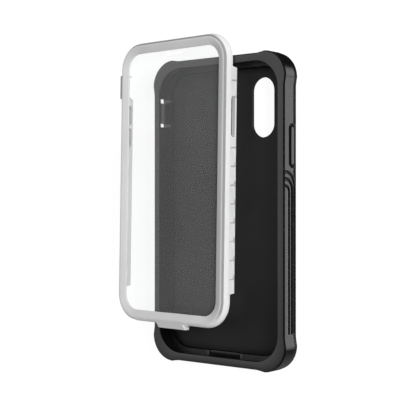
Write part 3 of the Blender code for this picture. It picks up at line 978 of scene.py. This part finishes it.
def crease_bumps(bumper):
    """Keeps the upright edges sharp where each corner bump starts and where its ramp ends."""
    mesh = bumper.data
    near, wall = LEAST_STEP, 1.5 * MM
    flags = []
    for vertex in mesh.vertices:
        x, y = abs(vertex.co.x), abs(vertex.co.y)
        past_w, past_l = x - SHELL_RUN_W, y - SHELL_RUN_L
        at_side = x > SHELL_HALF_W - wall and min(abs(past_l), abs(past_l + BUMP_RAMP)) < near
        at_end = y > SHELL_HALF_L - wall and min(abs(past_w), abs(past_w + BUMP_RAMP)) < near
        flags.append(at_side or at_end)
    sharp = mesh.attributes.get("sharp_edge") or mesh.attributes.new("sharp_edge", "BOOLEAN", "EDGE")
    for edge in mesh.edges:
        a, b = edge.vertices
        if flags[a] and flags[b] and abs(mesh.vertices[a].co.z - mesh.vertices[b].co.z) > near:
            sharp.data[edge.index].value = True


def window(name, outline, side, along, height, edge=WINDOW_EDGE):
    """Tool for an opening in one side of the shell, with its outer edge softened."""
    frame_half, shell_half = {
        "left": (FRAME_HALF_W, SHELL_HALF_W),
        "bottom": (FRAME_HALF_L, SHELL_HALF_L),
    }[side]
    inner, outer = frame_half - FRAME_WALL - PAST, shell_half + 3 * MM
    return through_side(prism(name, outline, inner, outer, edge, shell_half - edge), side, along, height)


def bumper_windows():
    """Tools for the switch window with its taller ends, the port window and the speaker slots."""
    height, middle = LIP_LOW - WINDOW_LOW, (WINDOW_LOW + LIP_LOW) / 2
    length = SWITCH_LENGTH + SWITCH_PLAY - SWITCH_NOTCH
    slot = rounded_box(length, SWITCH_SLOT_HIGH - SWITCH_SLOT_LOW, 0.2 * MM)
    tools = [window("switch", slot, "left", SWITCH_CENTRE, (SWITCH_SLOT_LOW + SWITCH_SLOT_HIGH) / 2, 0.0)]
    for sign in (1, -1):
        end = rounded_box(SWITCH_NOTCH, height, 0.4 * MM)
        tools.append(window(f"switch_end_{sign}", end, "left", SWITCH_CENTRE + sign * length / 2, middle))
    port = rounded_box(PORT_LENGTH + PORT_PLAY, height, 0.8 * MM)
    tools.append(window("port", port, "bottom", 0, middle))
    for sign in (1, -1):
        speaker = stadium(SPEAKER_LENGTH, SPEAKER_WIDTH)
        tools.append(window(f"speaker_{sign}", speaker, "bottom", sign * SPEAKER_PLACE, SPEAKER_HEIGHT))
    return tools


def make_back_plate(material):
    lap, top = FLANGE_THICKNESS + LAP_PLAY, BACK_THICKNESS
    inner, outer = FLANGE_OFFSET - LAP_PLAY, SEAT_OFFSET - LAP_PLAY
    profile = [
        (inner - 3 * MM, 0), (inner - 0.15 * MM, 0), (inner, 0.15 * MM), (inner, lap), (outer, lap),
        (outer, top - 0.25 * MM), (outer - 0.08 * MM, top - 0.08 * MM), (outer - 0.25 * MM, top),
        (outer - 3 * MM, top),
    ]
    stations = stations_of(FRAME_RUN_W, FRAME_RUN_L, {}, FRAME_CORNER_STEPS)
    plate = stack("back_panel", [
        [(*frame_point(station, offset), height) for station in stations] for offset, height in profile
    ])
    hole = prism("camera_opening", stadium(*CAMERA_OPENING), -1 * MM, top + 1 * MM)
    place = Matrix.Translation(CAMERA_OPENING_PLACE)
    hole.data.transform(place @ Matrix.Rotation(math.pi / 2, 4, "Z"))
    cut(plate, [hole])
    shade(plate, material)
    return plate


# The frame laid on the shell


def resting_matrix():
    """Lays the frame on three points of the rim: the left wall, the top wall and the top left corner."""
    rail = RIM_HEIGHT + REST_GAP + RAIL_DEPTH
    reach = SHELL_CORNER + CORNER_BUMP
    on_left_wall = Vector((-SHELL_HALF_W, FRAME_SHIFT_Y - FRAME_HALF_L, rail))
    on_top_wall = Vector((FRAME_SHIFT_X + FRAME_HALF_W - FRAME_WALL, SHELL_HALF_L, rail))
    axis = on_top_wall - on_left_wall
    slant = math.atan2(axis.x, -axis.y)
    on_corner = Vector((
        SHELL_CORNER - SHELL_HALF_W + reach * math.cos(slant),
        SHELL_HALF_L - SHELL_CORNER + reach * math.sin(slant),
        RIM_HEIGHT + REST_GAP + FRAME_UNDERSIDE,
    ))
    normal = axis.cross(on_corner - on_left_wall).normalized()
    drop = normal.dot(on_left_wall - Vector((FRAME_SHIFT_X, FRAME_SHIFT_Y, 0)))
    centre = Vector((FRAME_SHIFT_X, FRAME_SHIFT_Y, drop / normal.z))
    across = Vector((0, 1, 0)).cross(normal).normalized()
    turn = Matrix((across, normal.cross(across), normal)).transposed().to_4x4()
    return Matrix.Translation(centre) @ turn


# Studio


def make_camera():
    data = bpy.data.cameras.new("camera")
    data.sensor_width = SENSOR_WIDTH
    data.lens = CAMERA_FOCUS / IMAGE_WIDTH * SENSOR_WIDTH
    data.shift_y = CAMERA_SHIFT
    data.clip_start, data.clip_end = 0.05, 20.0
    camera = bpy.data.objects.new("camera", data)
    turn = math.radians(CAMERA_TURN)
    back, up = Vector((math.sin(turn), 0, math.cos(turn))), Vector((0, 1, 0))
    axes = Matrix((up.cross(back), up, back)).transposed().to_4x4()
    camera.matrix_world = Matrix.Translation(CAMERA_PLACE) @ axes
    bpy.context.scene.collection.objects.link(camera)
    bpy.context.scene.camera = camera


def make_lamp(name, place, size, power):
    """Lamp that gives light and shadow only. What glossy faces mirror comes from the world."""
    data = bpy.data.lights.new(name, "AREA")
    data.shape = "RECTANGLE"
    data.size, data.size_y = size
    data.energy = power
    lamp = bpy.data.objects.new(name, data)
    lamp.visible_glossy = False
    back = (Vector(place) - Vector(LAMP_TARGET)).normalized()
    lamp.matrix_world = Matrix.Translation(place) @ back.to_track_quat("Z", "Y").to_matrix().to_4x4()
    bpy.context.scene.collection.objects.link(lamp)


def make_world():
    """White behind the object, even soft light, and softboxes that only glossy faces mirror."""
    world = bpy.data.worlds.new("studio")
    world.use_nodes = True
    world.node_tree.nodes.clear()
    g = Graph(world.node_tree)
    white = (1.0, 1.0, 1.0, 1.0)
    toward = g.node("ShaderNodeTexCoord", output="Generated")
    facing = g.node("ShaderNodeVectorMath", {"operation": "DOT_PRODUCT"}, {
        0: toward, 1: (-0.62, 0.35, 0.70),
    }, "Value")
    x = g.node("ShaderNodeSeparateXYZ", inputs={0: toward}, output="X")
    y, z = x.part("Y"), x.part("Z")
    # one softbox high on the left
    high_left = g.smooth(facing, 0.70, 1.0, 0.0, 0.95)
    # two low ones beside the object, brightest along their lower edge, the left one cut short
    across = g.smooth(x.size(), 0.32, 0.44)
    along = g.smooth(y, -0.28, -0.16) * g.smooth(y, 0.50, 0.62, 1.15, 0.0)
    lower_edge = g.smooth(z, -0.895, -0.87) * g.smooth(z, -0.87, -0.845, 3.2, 1.0)
    upper_edge = g.smooth(z, -0.65, -0.50, 1.0, 0.0)
    left_end = 1.0 - g.smooth(x, -0.1, 0.0, 1.0, 0.0) * g.smooth(y, 0.02, 0.12)
    low_sides = across * along * lower_edge * upper_edge * left_end
    # a dim low one in front, and a band round the horizon
    low_front = g.smooth(y * -0.6 - z * 0.7, 0.72, 0.92, 0.0, 0.21)
    around = g.smooth(z, -0.58, -0.45) * g.smooth(z, 0.18, 0.30, 0.2, 0.0)
    mirrored = high_left + low_sides + low_front + around + 0.012
    soft = g.node("ShaderNodeBackground", inputs={"Color": white, "Strength": 0.26})
    panel = g.node("ShaderNodeBackground", inputs={"Color": white, "Strength": mirrored})
    backdrop = g.node("ShaderNodeBackground", inputs={"Color": white, "Strength": 1.0})
    ray = g.node("ShaderNodeLightPath", output="Is Camera Ray")
    lighting = g.node("ShaderNodeMixShader", inputs={0: ray.part("Is Glossy Ray"), 1: soft, 2: panel})
    shown = g.node("ShaderNodeMixShader", inputs={0: ray, 1: lighting, 2: backdrop})
    g.node("ShaderNodeOutputWorld", inputs={"Surface": shown})
    bpy.context.scene.world = world


def make_floor():
    """Pale floor that takes the object's shadow and looks white to the camera."""
    material, g = new_material("pale_studio_floor")
    lit = g.node("ShaderNodeBsdfDiffuse", inputs={"Color": (0.72, 0.72, 0.72, 1.0)})
    white = g.node("ShaderNodeEmission", inputs={"Color": (1.0, 1.0, 1.0, 1.0), "Strength": 1.32})
    ray = g.node("ShaderNodeLightPath", output="Is Camera Ray")
    seen = ray.larger(ray.part("Is Glossy Ray")).larger(ray.part("Is Transmission Ray"))
    finish_material(g, g.node("ShaderNodeMixShader", inputs={0: seen * 0.68, 1: lit, 2: white}))
    bm = bmesh.new()
    bmesh.ops.create_grid(bm, x_segments=8, y_segments=8, size=3.0)
    floor = mesh_object("studio_floor", bm)
    floor.data.materials.append(material)
    floor.visible_glossy = False


def make_studio():
    make_world()
    for lamp in LAMPS:
        make_lamp(*lamp)
    make_floor()


def declare(piece, node):
    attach(piece, "root")
    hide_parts(node)


def main():
    make_camera()
    pose = resting_matrix()
    declare(make_front_frame(pale_moulded_plastic(), pose), "front_frame")
    declare(make_film(clear_hard_film(), pose), "screen_film")
    declare(make_bumper(soft_black_bumper()), "bumper")
    declare(make_back_plate(fine_grained_back()), "back_plate")
    make_studio()
    bpy.context.scene.view_settings.view_transform = "Standard"


main()
